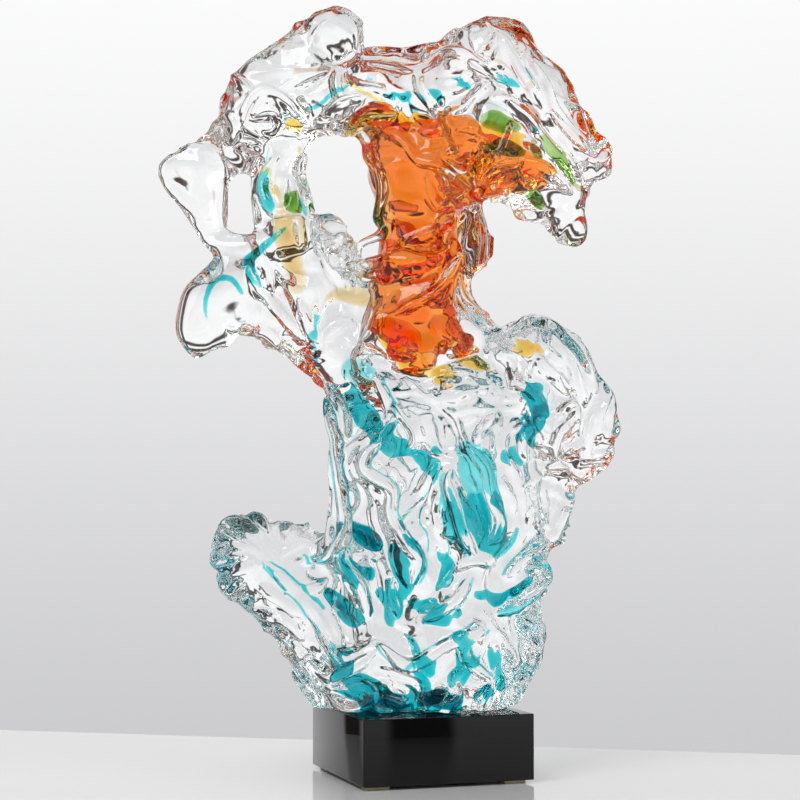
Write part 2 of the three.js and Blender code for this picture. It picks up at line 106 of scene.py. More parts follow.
def apply_modifier(piece, kind, **settings):
    only(piece)
    modifier = piece.modifiers.new(kind.lower(), kind)
    for name, value in settings.items():
        setattr(modifier, name, value)
    bpy.ops.object.modifier_apply(modifier=modifier.name)


def block(name, low, high, edge, steps):
    """A block between two corners with rounded edges."""
    sharp_angle = math.radians(50)
    bpy.ops.object.select_all(action="DESELECT")
    bpy.ops.mesh.primitive_cube_add(size=1, location=(Vector(low) + Vector(high)) / 2)
    piece = bpy.context.object
    piece.name = name
    piece.scale = Vector(high) - Vector(low)
    bpy.ops.object.transform_apply(location=True, rotation=True, scale=True)
    apply_modifier(piece, "BEVEL", width=edge, segments=steps, limit_method="NONE", harden_normals=False)
    only(piece)
    bpy.ops.object.shade_smooth_by_angle(angle=sharp_angle)
    return piece


class Value:
    """A socket of a shader; arithmetic on it adds Math nodes."""

    def __init__(self, tree, socket):
        self.tree = tree
        self.socket = socket

    def maths(self, operation, *others):
        node = self.tree.nodes.new("ShaderNodeMath")
        node.operation = operation
        for slot, other in zip(node.inputs, others):
            if isinstance(other, Value):
                self.tree.links.new(other.socket, slot)
            else:
                slot.default_value = other
        return Value(self.tree, node.outputs[0])

    def __add__(self, other):
        return self.maths("ADD", self, other)

    def __sub__(self, other):
        return self.maths("SUBTRACT", self, other)

    def __rsub__(self, other):
        return self.maths("SUBTRACT", other, self)

    def __mul__(self, other):
        return self.maths("MULTIPLY", self, other)

    def clamped(self):
        return self.maths("MINIMUM", self.maths("MAXIMUM", self, 0.0), 1.0)

    __radd__ = __add__
    __rmul__ = __mul__


class Shader:
    """The nodes of one material or of the world."""

    def __init__(self, owner):
        owner.use_nodes = True
        self.tree = owner.node_tree
        self.tree.nodes.clear()

    def node(self, kind, settings=None, **inputs):
        """Adds a node; an input is given by its name, or by i and its number where names are alike."""
        node = self.tree.nodes.new("ShaderNode" + kind)
        for name, value in (settings or {}).items():
            setattr(node, name, value)
        for name, value in inputs.items():
            numbered = name[0] == "i" and name[1:].isdigit()
            slot = node.inputs[int(name[1:]) if numbered else name.replace("_", " ")]
            if isinstance(value, Value):
                self.tree.links.new(value.socket, slot)
            else:
                slot.default_value = value
        return node

    def value(self, node, output=0):
        return Value(self.tree, node.outputs[output])

    def smooth_step(self, value, start, end):
        node = self.node("MapRange", {"interpolation_type": "SMOOTHSTEP"}, Value=value, i1=start, i2=end)
        return self.value(node)

    def mix(self, share, one, other):
        node = self.node("Mix", {"data_type": "RGBA"}, i0=share, i6=one, i7=other)
        return self.value(node, 2)

    def place(self):
        return self.value(self.node("TexCoord"), "Object")

    def noise(self, place, scale, detail=2.0, roughness=0.5, distortion=0.0):
        return self.value(self.node("TexNoise", None, Vector=place, Scale=scale, Detail=detail,
                                    Roughness=roughness, Distortion=distortion))

    def bump(self, height, strength, distance):
        return self.value(self.node("Bump", None, Height=height, Strength=strength, Distance=distance))

    def surface(self, **inputs):
        shader = self.node("BsdfPrincipled", None, **inputs)
        output = self.node("OutputMaterial")
        self.tree.links.new(shader.outputs[0], output.inputs["Surface"])
        return output


def black_crystal():
    material = bpy.data.materials.new("black crystal")
    shader = Shader(material)
    place = shader.place()
    wiped = shader.noise(place, scale=38, detail=4, roughness=0.6, distortion=0.8)
    smears = shader.smooth_step(wiped, 0.45, 0.75)
    specks = shader.smooth_step(shader.noise(place, scale=900, detail=1), 0.74, 0.8)
    shader.surface(
        Base_Color=shader.mix(specks * 0.25, crystal_black, dust_grey),
        Roughness=0.015 + smears * 0.035 + specks * 0.1,
        IOR=1.52,
        Specular_IOR_Level=0.3,
        Normal=shader.bump(shader.noise(place, scale=9, detail=1), strength=0.04, distance=0.002),
    )
    return material


plinth = block("polished_plinth", plinth_low, plinth_high, plinth_edge, edge_steps)
plinth.data.materials.append(black_crystal())
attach(plinth, "root")
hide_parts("plinth")


# Four pads of cream rubber keep the plinth off the table. They were cut from sheet with a knife, and each
# is stuck under one corner.
pad_edge = 0.0005
pad_edge_steps = 2
rubber_cream = (0.66, 0.56, 0.4, 1)
rubber_stain = (0.52, 0.43, 0.3, 1)


def cream_rubber():
    material = bpy.data.materials.new("cream rubber")
    shader = Shader(material)
    place = shader.place()
    grain = shader.noise(place, scale=2200, detail=3, roughness=0.6)
    stain = shader.smooth_step(shader.noise(place, scale=120, detail=3), 0.4, 0.7)
    shader.surface(
        Base_Color=shader.mix(stain, rubber_cream, rubber_stain),
        Roughness=0.6 + grain * 0.25,
        Normal=shader.bump(grain, strength=0.25, distance=0.0002),
    )
    return material


pad_finish = cream_rubber()
for corner in ("front_left", "front_right", "back_left", "back_right"):
    low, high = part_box("pad_" + corner)
    pad = block("rubber_pad_" + corner, low, high, pad_edge, pad_edge_steps)
    pad.data.materials.append(pad_finish)
    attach(pad, "root")
    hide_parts("pad_" + corner)


# The stone is clear glass, gathered hot in lumps, lips and drips that melt into one skin. Ropes and
# threads of hot glass are laid over it, and the whole is fire-polished and set down on its foot.
foot_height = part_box("trunk")[0][2]
turned_to_camera = Matrix.Rotation(-view_turn, 4, "Z")
to_world = Matrix.Translation(plinth_axis + Vector((0, 0, foot_height))) @ turned_to_camera
to_stone = to_world.inverted()
towards_back = to_world.to_3x3() @ Vector((0, 1, 0))
mm = 0.001

clear_nodes = [one["node"] for one in frame["record"]["subparts"] if one["material_slot"] == "clear_glass"]
core_nodes = [one["node"] for one in frame["record"]["subparts"]
              if one["material_slot"].endswith("_glass") and one["node"] not in clear_nodes]


def placed(x, depth, height):
    """A place in the scene, from x to the right, depth from the face and height above the foot, in mm."""
    return to_world @ (Vector((x, depth, height)) * mm)


def copy_of(name):
    piece = bpy.data.objects.new("gather", frame["nodes"][name].data.copy())
    bpy.context.scene.collection.objects.link(piece)
    return piece


def joined(name, pieces):
    only(*pieces)
    if len(pieces) > 1:
        bpy.ops.object.join()
    piece = bpy.context.object
    piece.name = name
    piece.data.materials.clear()
    return piece


def weld(piece):
    weld_distance = 0.00001
    only(piece)
    bpy.ops.object.mode_set(mode="EDIT")
    bpy.ops.mesh.select_all(action="SELECT")
    bpy.ops.mesh.remove_doubles(threshold=weld_distance)
    bpy.ops.object.mode_set(mode="OBJECT")


def melted(piece, grain, passes):
    """Melts all that overlaps in a piece into one skin, and lets it flow smooth."""
    apply_modifier(piece, "REMESH", mode="VOXEL", voxel_size=grain)
    apply_modifier(piece, "SMOOTH", factor=0.5, iterations=passes)


def tree_of(piece):
    faces = [face.vertices for face in piece.data.polygons]
    return BVHTree.FromPolygons([vertex.co for vertex in piece.data.vertices], faces)


def spread(points, step):
    """Points along a smooth curve through the given ones, about a step apart."""
    points = [Vector(point) for point in points]
    ends = [points[0] * 2 - points[1], *points, points[-1] * 2 - points[-2]]
    result = []
    for a, b, c, d in zip(ends, ends[1:], ends[2:], ends[3:]):
        count = max(2, round((c - b).length / step))
        for n in range(count):
            t = n / count
            result.append(0.5 * ((2 * b) + (c - a) * t + (2 * a - 5 * b + 4 * c - d) * t * t
                                 + (3 * b - a - 3 * c + d) * t ** 3))
    return result + [points[-1]]


def curve_named(name, sides=3):
    curve = bpy.data.curves.new(name, "CURVE")
    curve.dimensions = "3D"
    curve.bevel_depth = 1
    curve.bevel_resolution = sides
    curve.resolution_u = 2
    curve.use_fill_caps = True
    return curve


def rope(curve, places, radii):
    """Adds one rope of hot glass to a curve, with a radius at each of its places, and round ends."""
    cap = 0.45
    places = [places[0] + (places[0] - places[1]).normalized() * radii[0] * cap, *places,
              places[-1] + (places[-1] - places[-2]).normalized() * radii[-1] * cap]
    radii = [radii[0] * cap, *radii, radii[-1] * cap]
    spline = curve.splines.new("NURBS")
    spline.points.add(len(places) - 1)
    spline.order_u = 3
    spline.use_endpoint_u = True
    for point, place, radius in zip(spline.points, places, radii):
        point.co = (*place, 1)
        point.radius = radius


def mesh_of(curve):
    piece = bpy.data.objects.new(curve.name, curve)
    bpy.context.scene.collection.objects.link(piece)
    only(piece)
    bpy.ops.object.convert(target="MESH")
    return bpy.context.object


body_swell = 0.0025
glass = joined("clear_glass", [copy_of(name) for name in clear_nodes + core_nodes])
weld(glass)
apply_modifier(glass, "DISPLACE", strength=body_swell, mid_level=0)
melted(glass, grain=0.003, passes=12)

# Thick ropes and lobes of [x, depth, height, radius] in mm: the horn's rims and the curled lip under it,
# the fingers of the tongue, the drip in the hole, the petals of the wing, and the knobs of shoulder and
# canopy
rope_step = 5
lobes = [
    [(-204, -17, 421, 4), (-192, -16, 428, 6), (-176, -14, 430, 7), (-162, -10, 444, 8), (-148, -6, 462, 9)],
    [(-204, -17, 418, 4), (-195, -16, 405, 6), (-182, -16, 391, 6), (-172, -16, 377, 7), (-165, -17, 364, 7),
     (-152, -20, 357, 8), (-136, -24, 356, 8), (-120, -28, 362, 8), (-102, -30, 376, 8)],
    [(-158, -10, 436, 6), (-157, -12, 412, 5), (-156, -14, 390, 5), (-160, -16, 370, 6)],
    [(-172, -18, 322, 10), (-180, -18, 302, 9), (-178, -17, 284, 8), (-171, -16, 278, 7)],
    [(-160, -16, 320, 9), (-161, -14, 300, 8), (-161, -12, 284, 7)],
    [(-176, -20, 322, 7), (-166, -24, 332, 8), (-152, -24, 336, 8), (-140, -22, 326, 7)],
    [(-90, -26, 360, 5), (-78, -28, 372, 5), (-64, -28, 367, 5), (-58, -27, 356, 5), (-61, -28, 344, 5),
     (-50, -32, 335, 5), (-36, -36, 333, 5)],
    [(-60, -34, 340, 5), (-36, -38, 345, 6), (-12, -38, 348, 6), (8, -40, 348, 6), (24, -38, 356, 5)],
    [(-128, -12, 126, 9), (-140, -18, 135, 9), (-148, -20, 140, 10)],
    [(-128, -14, 120, 9), (-144, -22, 120, 9), (-154, -26, 119, 9)],
    [(-128, -16, 112, 9), (-142, -24, 104, 9), (-150, -26, 99, 9)],
    [(-124, -14, 104, 9), (-134, -20, 94, 9), (-139, -22, 90, 8)],
    [(-124, -6, 130, 9), (-127, -6, 140, 9), (-127, -6, 146, 8)],
    [(-116, -4, 126, 9), (-109, -2, 134, 9), (-106, -2, 138, 8)],
    [(-108, -4, 116, 9), (-98, -2, 122, 8), (-92, 0, 124, 7)],
    [(136, 12, 236, 9), (144, 12, 238, 9)],
    [(134, 10, 218, 9), (144, 8, 220, 9)],
    [(134, 14, 202, 9), (144, 14, 204, 8)],
    [(126, 8, 186, 9), (135, 8, 186, 8)],
    [(118, -6, 252, 10), (128, -8, 250, 9)],
    [(112, -10, 226, 10), (118, -16, 224, 8)],
    [(100, -12, 206, 10), (104, -18, 202, 8)],
    [(92, -14, 262, 9), (98, -20, 260, 7)],
    [(128, 0, 432, 12), (137, 0, 430, 10)],
    [(120, -6, 398, 11), (126, -8, 390, 9)],
    [(112, -8, 380, 10), (116, -8, 373, 8)],
    [(84, -10, 390, 10), (80, -12, 382, 8)],
    [(38, 4, 518, 13), (42, 4, 527, 11)],
    [(64, 4, 516, 14), (69, 4, 526, 11)],
    [(-66, -2, 524, 14), (-62, -2, 534, 12)],
    [(-86, -2, 516, 12), (-80, -2, 530, 10), (-72, -4, 536, 8)],
]
thick = curve_named("thick_ropes")
for lobe in lobes:
    run = spread(lobe, rope_step)
    rope(thick, [placed(*one[:3]) for one in run], [one[3] * mm for one in run])
glass = joined("clear_glass", [glass, mesh_of(thick)])
melted(glass, grain=0.0024, passes=5)
body_tree = tree_of(glass)

# The skin stands up in lips where folds of the gather met, and lies calm between them. Each bend is how
# long its waves are and how far they push a lip aside, in mm. A lip's width goes by the distance between
# the lips.
lip_bends = [(70, 26), (28, 8)]
lip_width = 0.15
small_lip_width = 0.18
small_lip_spacing = 0.6
small_lip_share = 0.3
valley_depth = 0.45
swell_length = 50
swell_height = 8


def rise(value, start, end):
    """0 up to the start, 1 from the end on, and a smooth step between; the end may be below the start."""
    share = min(1, max(0, (value - start) / (end - start)))
    return share * share * (3 - 2 * share)


def drift(place):
    """A vector that wanders smoothly from place to place."""
    far_apart = Vector((17.3, 31.7, -11.9))
    return Vector([noise.noise(place + far_apart * n) for n in range(3)])


def lips_at(place):
    """How far apart lips are, how much longer than wide their loops are, and how high they stand, in mm."""
    x, depth, height = place
    trunk = rise(height, 250, 220) * rise(x, -90, -70) * rise(x, 100, 85)
    foot = rise(height, 100, 70)
    shoulder = rise(x, 76, 92) * rise(height, 320, 295) * rise(height, 120, 150)
    wing = rise(x, -85, -100) * rise(height, 190, 160)
    neck = rise(abs(x), 62, 45) * rise(height, 245, 270) * rise(height, 450, 420)
    horn = rise(x, -120, -140) * rise(height, 250, 270) * rise(height, 445, 430)
    apart, longer, tall = 31, 1.0, 4.6
    for share, *zone in [
        (trunk, 36, 1.6, 4.4), (foot, 30, 1.2, 5.2), (shoulder, 23, 1, 6),
        (wing, 28, 1, 3.4), (neck, 36, 1.5, 2.6), (horn, 40, 1, 0.8),
    ]:
        apart, longer, tall = (a + (b - a) * share for a, b in zip((apart, longer, tall), zone))
    calmer_behind = 0.6 * rise(depth, -4, 16)
    return apart, longer, tall * (1 - calmer_behind)


def lip_height(place):
    """How far the skin stands out at a place, in mm: lips run where a smooth noise crosses nought."""
    apart, longer, tall = lips_at(place)
    bent = place
    for length, push in lip_bends:
        bent = bent + drift(place / length) * push
    squeezed = Vector((bent.x, bent.y, bent.z / longer))
    lip = math.exp(-(noise.noise(squeezed / apart) / lip_width) ** 2)
    aside = squeezed / (apart * small_lip_spacing) + Vector((40, 9, 3))
    small_lip = math.exp(-(noise.noise(aside) / small_lip_width) ** 2)
    swell = noise.noise(place / swell_length) * swell_height
    return tall * (lip + small_lip_share * small_lip - valley_depth) + swell * rise(tall, 1, 3)


skin = glass.data
moves = [vertex.normal * lip_height(to_stone @ vertex.co / mm) * mm for vertex in skin.vertices]
for vertex, move in zip(skin.vertices, moves):
    vertex.co += move


def on_front(tree, x, height):
    """The point and normal of the stone's face at x and height (in mm) as seen from the front."""
    far_in_front = -400
    near_the_face = -20
    hit, normal, _, _ = tree.ray_cast(placed(x, far_in_front, height), towards_back)
    if hit is None:
        hit, normal, _, _ = tree.find_nearest(placed(x, near_the_face, height))
    return hit, normal


def tapered(radius, last):
    """The radii of a thread from its place 0 to its last place, thin at both ends, where it melts in."""
    thin_end = 0.3
    thickening = 4.0
    return [radius * min(1, thin_end + thickening * min(n, last - n) / last) for n in range(last + 1)]


def laid(curve, tree, route, radius):
    """Lays a thread of hot glass half proud of the stone's face, along a route of [x, height] in mm."""
    thread_step = 3
    easings = 3
    proud = 0.5
    along = spread([(x, height, 0) for x, height in route], thread_step)
    found = [on_front(tree, one.x, one.y) for one in along]
    places = [hit + normal * radius * proud * mm for hit, normal in found]
    for _ in range(easings):
        eased = [(a + b * 2 + c) / 4 for a, b, c in zip(places, places[1:], places[2:])]
        places = [places[0], *eased, places[-1]]
    rope(curve, places, tapered(radius * mm, len(places) - 1))


# Routes of [x, height] in mm of the threads that stand out on the face, each after its radius
trunk_threads = [
    (5, [(-30, 209), (-44, 191), (-40, 181), (-22, 169), (-23, 151), (-14, 133), (-2, 116), (-6, 98)]),
    (4.5, [(12, 188), (2, 169), (-14, 156), (-19, 146)]),
    (4.5, [(23, 183), (20, 174), (27, 151), (30, 139), (42, 116)]),
    (3.5, [(13, 165), (12, 153), (18, 126), (15, 116)]),
    (3.5, [(5, 156), (3, 144), (9, 130), (7, 121)]),
    (4.5, [(35, 202), (48, 186), (57, 156), (60, 144), (55, 130), (48, 128)]),
    (4, [(60, 176), (67, 165), (72, 153)]),
    (4, [(-57, 195), (-57, 179), (-51, 163), (-55, 151)]),
    (5, [(-74, 241), (-64, 198), (-59, 151), (-60, 130), (-72, 116), (-86, 116)]),
    (4, [(-72, 251), (-60, 230), (-57, 209)]),
    (5, [(-56, 123), (-60, 116), (-47, 96), (-40, 72)]),
    (4, [(-23, 103), (-23, 89), (-17, 72)]),
    (4.5, [(28, 107), (35, 115), (46, 116), (55, 112)]),
    (4.5, [(36, 103), (30, 89), (16, 77), (2, 70)]),
    (5, [(-118, 112), (-104, 98), (-79, 70), (-64, 42), (-60, 35)]),
    (5, [(-88, 42), (-69, 27), (-55, 33), (-35, 47)]),
    (5, [(-30, 51), (-9, 35), (13, 49), (28, 56), (44, 66)]),
    (4.5, [(48, 63), (35, 56), (32, 44), (42, 33), (54, 24)]),
    (4, [(57, 63), (67, 47), (72, 37)]),
    (5, [(80, 119), (92, 112), (97, 98), (72, 79), (57, 74)]),
    (5, [(99, 130), (87, 123), (76, 116), (67, 103)]),
    (5, [(119, 172), (116, 158), (108, 139), (99, 126)]),
    (4, [(-25, 241), (-7, 218), (-2, 209), (-12, 198)]),
    (4, [(-35, 255), (-25, 235), (-23, 221), (-32, 209)]),
    (4, [(-12, 255), (2, 241), (25, 240), (42, 246)]),
    (4, [(57, 225), (48, 216), (42, 205)]),
    (4.5, [(-69, 14), (-59, 6), (-46, 5), (-36, 12), (-42, 21), (-55, 21)]),
    (4.5, [(-28, 12), (-17, 5), (-6, 9), (-9, 18), (-20, 21)]),
    (4, [(16, 5), (28, 12), (24, 25), (33, 31)]),
    (4, [(39, 5), (49, 10), (52, 21)]),
]
neck_threads = [
    (4, [(-10, 360), (6, 366), (21, 374)]),
    (4, [(31, 349), (16, 324), (-6, 311), (-21, 303)]),
    (5, [(29, 334), (29, 318), (47, 300), (73, 281), (92, 279)]),
    (4.5, [(-79, 446), (-63, 447), (-50, 443), (-31, 413), (-31, 387), (-45, 345)]),
    (4, [(-31, 450), (-13, 439), (-2, 424), (16, 419), (37, 400), (50, 400)]),
    (4, [(4, 414), (14, 389), (28, 392), (52, 400), (68, 400)]),
]
canopy_threads = [
    (5, [(45, 402), (57, 415), (89, 419), (118, 400)]),
    (3.5, [(24, 529), (0, 496), (0, 480), (21, 453), (29, 429)]),
    (4.5, [(57, 474), (76, 466), (102, 431), (118, 408)]),
    (5, [(-47, 516), (-31, 508), (8, 510), (24, 526)]),
    (4.5, [(-47, 503), (-2, 495), (16, 506), (31, 508), (68, 487)]),
    (4.5, [(-89, 450), (-73, 463), (-57, 471), (-41, 473)]),
    (4.5, [(-79, 444), (-57, 453), (-37, 463), (-21, 461)]),
    (4, [(-137, 450), (-138, 461), (-125, 480), (-109, 474), (-89, 456)]),
    (3.5, [(-129, 461), (-116, 465), (-112, 455), (-119, 450), (-128, 453)]),
    (4, [(-147, 496), (-141, 487), (-132, 480)]),
    (4.5, [(-153, 463), (-145, 458), (-143, 447), (-151, 440)]),
    (4, [(-109, 482), (-94, 491), (-75, 499), (-63, 500)]),
    (4, [(-64, 499), (-66, 482), (-59, 473)]),
    (5, [(-112, 431), (-123, 407), (-117, 389), (-101, 387), (-102, 413)]),
    (4.5, [(-85, 435), (-89, 420), (-83, 388)]),
    (5, [(79, 508), (94, 484), (107, 459), (135, 429)]),
    (5, [(59, 524), (71, 504), (98, 461)]),
    (4, [(98, 437), (114, 425), (126, 409)]),
]
left_threads = [
    (4.5, [(-134, 341), (-130, 328), (-114, 311), (-90, 283)]),
    (4.5, [(-124, 349), (-118, 334), (-119, 322)]),
    (5, [(-151, 295), (-124, 293), (-97, 273), (-85, 259)]),
    (4.5, [(-94, 318), (-85, 293), (-77, 283)]),
    (5, [(-130, 78), (-114, 72), (-101, 66), (-90, 54)]),
    (5, [(-124, 97), (-113, 88), (-102, 82), (-91, 72)]),
    (4, [(-120, 132), (-131, 141), (-144, 146), (-153, 138), (-143, 130), (-128, 126)]),
    (4, [(-124, 122), (-140, 127), (-156, 123), (-158, 112), (-144, 112), (-128, 116)]),
    (4, [(-122, 112), (-138, 108), (-152, 102), (-148, 90), (-134, 98)]),
    (4, [(-118, 136), (-124, 148), (-130, 152), (-134, 144)]),
    (4, [(-112, 132), (-112, 142), (-104, 144), (-98, 134), (-106, 126)]),
    (4, [(-108, 118), (-96, 128), (-87, 128), (-84, 116), (-98, 112)]),
    (4, [(-112, 62), (-96, 48), (-82, 28), (-72, 14)]),
    (4, [(-98, 92), (-84, 92), (-72, 100)]),
]
shoulder_threads = [
    (5, [(63, 288), (90, 301), (119, 282), (129, 265), (137, 246)]),
    (4.5, [(79, 277), (107, 255), (115, 240)]),
    (4.5, [(101, 283), (115, 270), (130, 236)]),
    (4, [(71, 251), (85, 246), (98, 224)]),
    (4, [(122, 230), (104, 206), (107, 192)]),
    (4, [(141, 232), (134, 220), (129, 191)]),
    (4, [(115, 184), (101, 187), (79, 172)]),
    (4, [(86, 216), (79, 204), (83, 192)]),
]
skin_tree = tree_of(glass)
threads = curve_named("threads")
for radius, route in trunk_threads + neck_threads + canopy_threads + left_threads + shoulder_threads:
    laid(threads, skin_tree, route, radius)

# Behind and at the sides finer threads sag and sway as they were let down around the stone
dice = random.Random(7)
side_threads = 20
side_step = 0.004
sag = 0.45
sway = 2.2
sway_length = 0.035
sunk = 0.35
behind = 60


def let_down(start, steps, radius):
    place, normal, _, _ = skin_tree.find_nearest(start)
    places = [place]
    for _ in range(steps):
        pull = Vector((0, 0, -sag)) + drift(place / sway_length) * sway
        pull -= normal * pull.dot(normal)
        place, normal, _, _ = skin_tree.find_nearest(place + pull.normalized() * side_step)
        places.append(place - normal * radius * sunk)
    rope(threads, places, tapered(radius, steps))


for _ in range(side_threads):
    x = dice.uniform(-80, 140)
    height = dice.uniform(10, 540)
    let_down(placed(x, behind, height), dice.randrange(10, 24), dice.uniform(3, 4.5) * mm)

# The whole melts once more; its foot is ground flat, and its face stays close to the solids
most_triangles = 196000
face_allowance = 0.0035
glass = joined("clear_glass", [glass, mesh_of(threads)])
melted(glass, grain=0.0017, passes=1)
triangles = 2 * len(glass.data.polygons)
apply_modifier(glass, "DECIMATE", decimate_type="COLLAPSE", ratio=most_triangles / triangles)
apply_modifier(glass, "SMOOTH", factor=0.5, iterations=4)
front_limit = cad_box[0][1] - face_allowance
for vertex in glass.data.vertices:
    vertex.co.z = max(vertex.co.z, foot_height)
    vertex.co.y = max(vertex.co.y, front_limit)
only(glass)
bpy.ops.object.shade_smooth()


def clear_glass():
    material = bpy.data.materials.new("clear glass")
    shader = Shader(material)
    ripple = shader.noise(shader.place(), scale=45, detail=1, roughness=0.5, distortion=0.6)
    shader.surface(
        Base_Color=(0.985, 0.99, 0.99, 1),
        Roughness=0.0,
        IOR=1.48,
        Transmission_Weight=1.0,
        Normal=shader.bump(ripple, strength=0.06, distance=0.002),
    )
    return material


glass.data.materials.append(clear_glass())
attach(glass, "root")
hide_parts(*clear_nodes)
glass_tree = tree_of(glass)


# Teal veils fold through the heart of the trunk. Rods of coloured glass were drawn out flat on the hot
# gather, and clear glass was gathered over them, so that the colour lies inside.
teal_colour = (0.0, 0.865, 0.889, 1)


def coloured_glass(name, density, colour, bend=1.0):
    """Glass that takes up light by its density and bends it so much more than the clear glass round it."""
    material = bpy.data.materials.new(name)
    shader = Shader(material)
    output = shader.surface(Base_Color=(1, 1, 1, 1), Roughness=0.0, IOR=bend, Transmission_Weight=1.0)
    absorb = shader.node("VolumeAbsorption", None, Color=colour, Density=density)
    shader.tree.links.new(absorb.outputs[0], output.inputs["Volume"])
    return material


def ribbon(route, thickness, below, edge=5, soft=False):
    """A ribbon along a route of [x, height, half width] in mm, so thick, and so far below the stone's face.
    It keeps its thickness up to its edge, so many mm wide, or thins out softly across it."""
    along = spread(route, step=4)
    curve = curve_named("ribbon", sides=4)
    rope(curve, [Vector((one.x, 0, one.y)) * mm for one in along], [one.z * mm for one in along])
    piece = mesh_of(curve)
    for vertex in piece.data.vertices:
        x, depth, height = vertex.co / mm
        front = (to_stone @ on_front(body_tree, x, height)[0]).y / mm
        share = max(-1, min(1, depth / edge))
        if soft:
            share *= abs(share)
        vertex.co = placed(x, front + below + thickness / 2 * (1 + share), height)
    return piece


def veil(name, finish, ribbons, node=None, ripple=0.0015, facets=0, grain=0.0018):
    """Ribbons melted into one veil, rippled, creased by facets so deep in mm, and kept inside the stone.
    The facets die away where the neck goes over into the crest."""
    margin = 0.0012
    ripple_length = 0.018
    facet_size = 0.017
    facets_end, facets_full = 0.42, 0.37
    piece = joined(name, [ribbon(*one) for one in ribbons])
    melted(piece, grain, passes=2)
    vertices = piece.data.vertices
    moves = [drift(vertex.co / ripple_length) * ripple for vertex in vertices]
    if facets:
        for n, vertex in enumerate(vertices):
            near = noise.voronoi(vertex.co / facet_size)[0][0]
            share = rise(vertex.co.z - foot_height, facets_end, facets_full)
            moves[n] += vertex.normal * (0.5 - near) * facets * mm * share
    for vertex, move in zip(vertices, moves):
        vertex.co += move
        hit, normal, _, _ = glass_tree.find_nearest(vertex.co)
        if (vertex.co - hit).dot(normal) > -margin:
            vertex.co = hit - normal * margin
    apply_modifier(piece, "SMOOTH", factor=0.5, iterations=1)
    only(piece)
    bpy.ops.object.shade_smooth()
    piece.data.materials.append(finish)
    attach(piece, "root")
    if node:
        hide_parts(node)


# A ribbon is its route, its thickness and its depth; where given, its edge's width and whether it is soft
teal = coloured_glass("teal glass", 330, teal_colour, 1.03)
veil("trunk_teal_veils", teal, [
    ([(-56, 268, 9), (-46, 258, 11), (-38, 250, 8)], 4, 10, 8, True),
    ([(-54, 246, 8), (-44, 230, 11), (-34, 216, 9), (-28, 208, 5)], 18, 12),
    ([(-34, 204, 5), (-22, 199, 10), (-8, 202, 8)], 14, 14),
    ([(92, 250, 4), (84, 245, 6), (88, 238, 7), (92, 228, 8), (84, 217, 8), (72, 208, 5)], 20, 8),
    ([(64, 198, 8), (74, 190, 6)], 12, 12),
    ([(-8, 196, 4), (4, 192, 10), (12, 182, 6), (14, 174, 3)], 12, 14),
    ([(38, 202, 9), (41, 188, 15), (42, 170, 17)], 5, 16),
    ([(42, 158, 18), (44, 146, 16), (48, 132, 12), (54, 120, 5)], 16, 14),
    ([(-56, 140, 5), (-44, 132, 11), (-32, 126, 10)], 28, 12),
    ([(-14, 126, 6), (-12, 108, 8), (-12, 94, 9), (-24, 86, 6)], 16, 14),
    ([(14, 124, 4), (22, 108, 8), (14, 94, 7)], 14, 14),
    ([(-78, 90, 5), (-60, 78, 9), (-46, 68, 8)], 22, 12),
    ([(-64, 116, 3), (-52, 106, 6), (-40, 104, 6)], 18, 12),
    ([(-4, 82, 4), (8, 76, 8), (22, 72, 6)], 16, 14),
    ([(22, 168, 2.5), (26, 150, 4), (26, 132, 3)], 14, 14),
    ([(-34, 92, 6), (-20, 80, 8), (-24, 66, 6)], 14, 14),
    ([(40, 90, 4), (58, 82, 6), (72, 88, 5), (86, 98, 4)], 18, 10),
    ([(-60, 40, 5), (-52, 24, 8), (-36, 10, 7)], 22, 12),
    ([(-8, 60, 4), (0, 44, 6), (4, 30, 5)], 14, 14),
    ([(30, 58, 4), (34, 40, 6), (28, 20, 5)], 14, 12),
    ([(54, 48, 4), (58, 34, 5), (62, 16, 5)], 14, 12),
    ([(-36, 8, 6), (-10, 8, 6), (16, 8, 6)], 18, 14),
    ([(60, 122, 4), (66, 130, 5), (72, 140, 3)], 12, 12),
], "teal_trunk_core")

# Thin lines of deeper teal run beside the threads on the trunk's face, and short ones lie in its foot. Those
# beside the threads are painted shade: the dark teal outlines that the threads' edges show over the teal
# veils.
shade_line_half_width = 1.9
shade_line_thickness = 5
shade_line_depth = 2.5
thread_sides = [
    (0, 4.5), (1, 4.5), (2, -4.5), (3, 3.5), (4, -3.5), (5, 4.5), (8, -4), (8, 4), (9, 4), (10, -4), (13, 4),
    (14, -4), (16, -4), (17, 4), (19, 4), (20, -4), (23, 4),
]
painted_shade_beside_threads = [
    ([(x + side, height, shade_line_half_width) for x, height in trunk_threads[number][1]],
     shade_line_thickness, shade_line_depth)
    for number, side in thread_sides
]
# The deeper teal glass is the teal of the crest and the arc; beside the threads it paints their dark
# outlines as shade
deep_teal_and_thread_shade = coloured_glass("deep teal glass and painted shade", 1200, teal_colour)
veil("teal_lines_and_painted_thread_shade", deep_teal_and_thread_shade, painted_shade_beside_threads + [
    ([(-40, 6, 5), (-26, 8, 6), (-14, 6, 4)], 12, 10),
    ([(0, 8, 4), (14, 10, 6), (28, 7, 4)], 12, 10),
    ([(40, 10, 3), (54, 14, 4)], 10, 8),
    ([(-6, 36, 2.5), (2, 24, 3), (6, 12, 3)], 8, 10),
    ([(-118, 113, 2), (-104, 102, 2.5), (-90, 90, 2.5), (-76, 76, 2.5)], 6, 8),
    ([(92, 236, 4), (90, 226, 5), (80, 216, 3)], 5, 10),
    ([(-50, 134, 3), (-40, 128, 5), (-34, 122, 3)], 6, 16),
    ([(-68, 80, 3), (-56, 74, 4), (-48, 68, 3)], 6, 14),
], ripple=0.0006, grain=0.0011)

